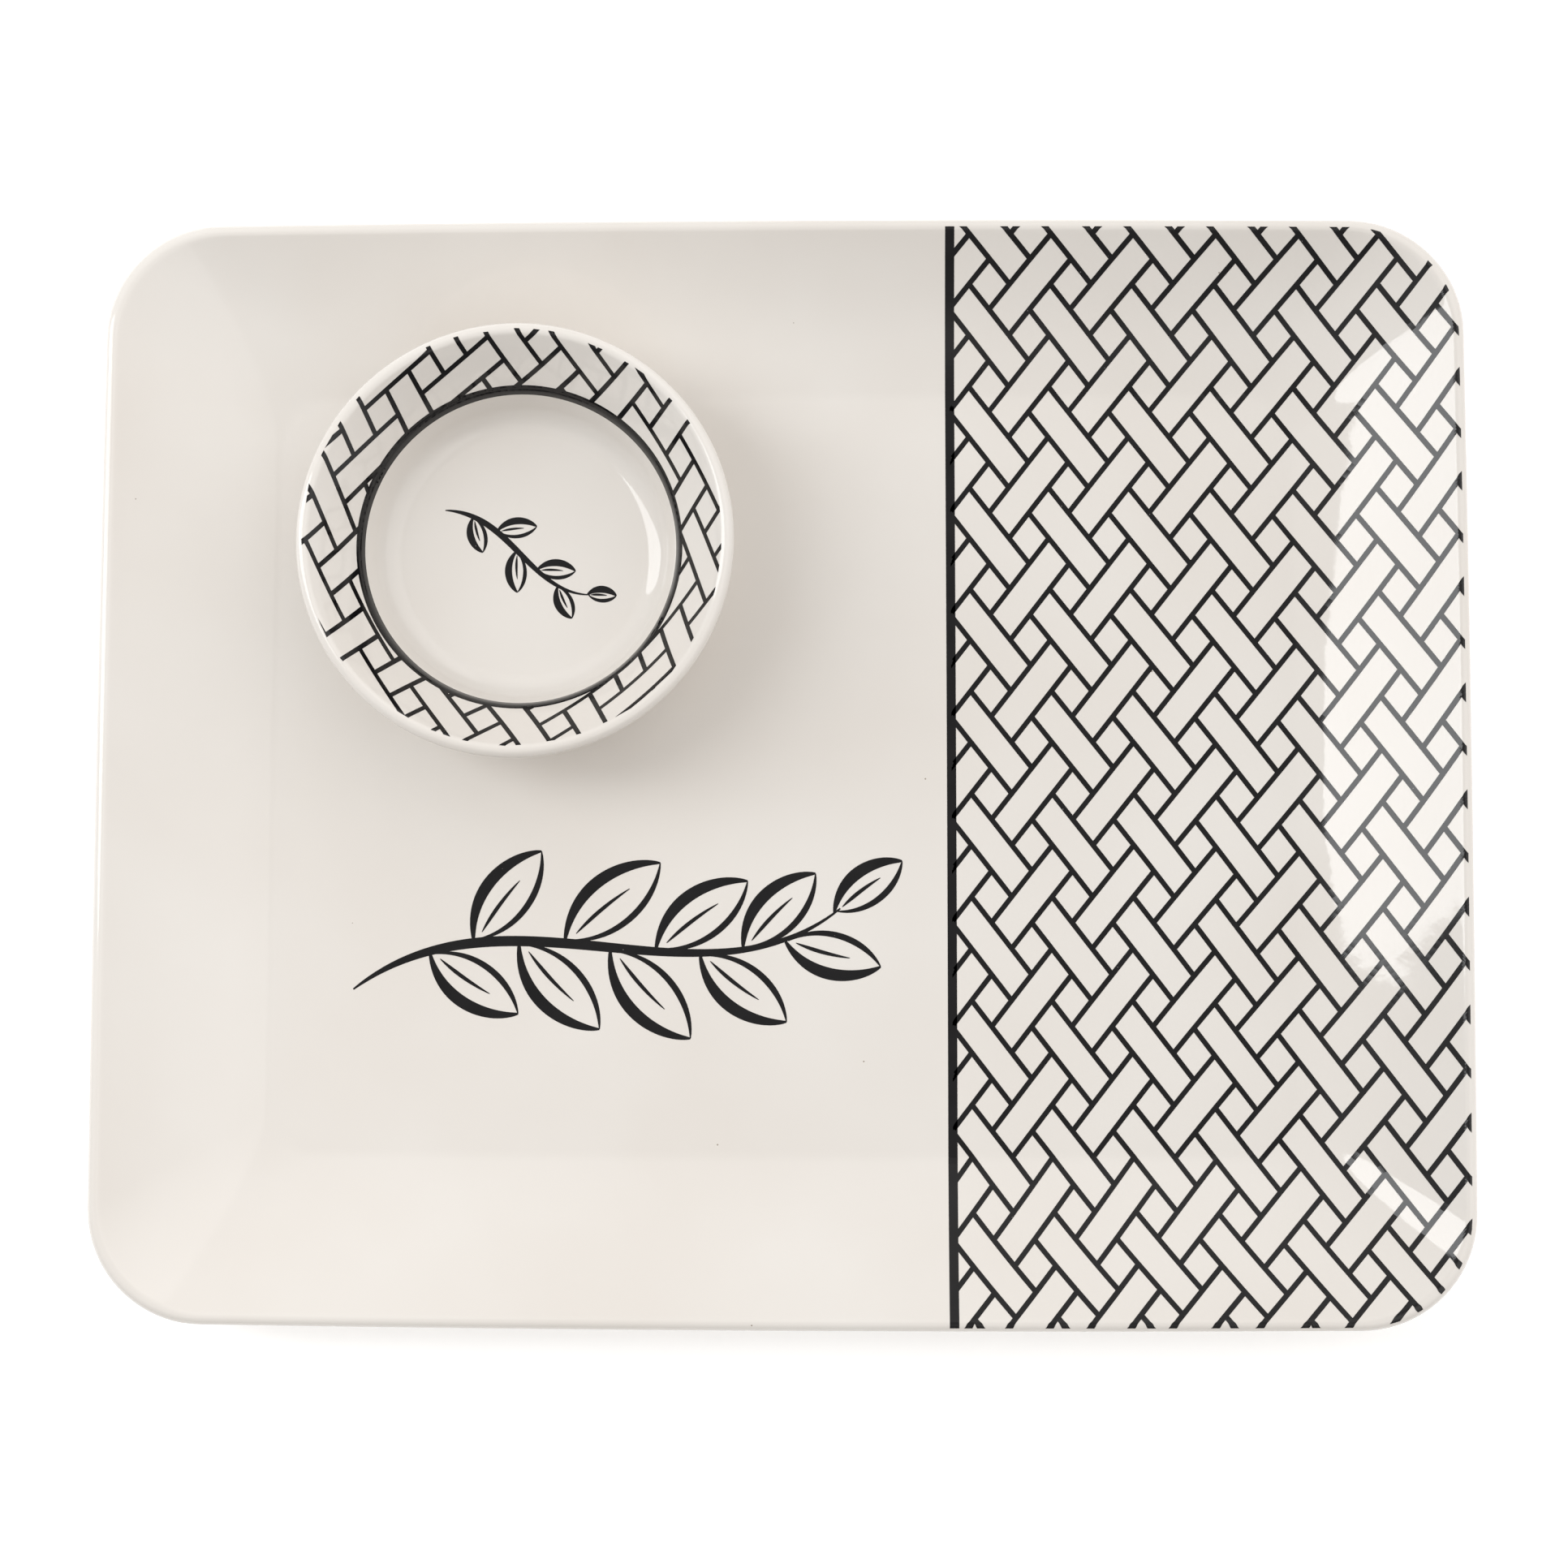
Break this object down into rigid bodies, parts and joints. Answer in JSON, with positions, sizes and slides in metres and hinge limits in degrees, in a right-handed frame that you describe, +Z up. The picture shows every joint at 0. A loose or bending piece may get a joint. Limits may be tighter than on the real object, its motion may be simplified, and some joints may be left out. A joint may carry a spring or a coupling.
{
  "type": "chip and dip server",
  "caption": "Shallow rectangular glazed ceramic platter with sloping walls and rounded corners, and a loose round dip bowl with a flared rim standing on it.",
  "frame": {"origin": "on the table under the middle of the platter", "axes": "+X to the right along the platter's length, with the printed panel on the +X side, +Y towards the back edge, +Z up"},
  "size_m": [0.34, 0.2754, 0.0395],
  "materials": {
    "platter_glaze": "glossy warm off-white glaze",
    "bowl_glaze": "glossy warm off-white glaze",
    "print_black": "glossy black fired print"
  },
  "bodies": {
    "platter": {"platter": "platter_glaze"},
    "dip_bowl": {"dip_bowl": "bowl_glaze"}
  },
  "joints": [
    {"name": "bowl_lift", "type": "slide", "parent": "platter", "child": "dip_bowl", "axis": [0, 0, 1], "range_m": [0, 0.08]}
  ]
}
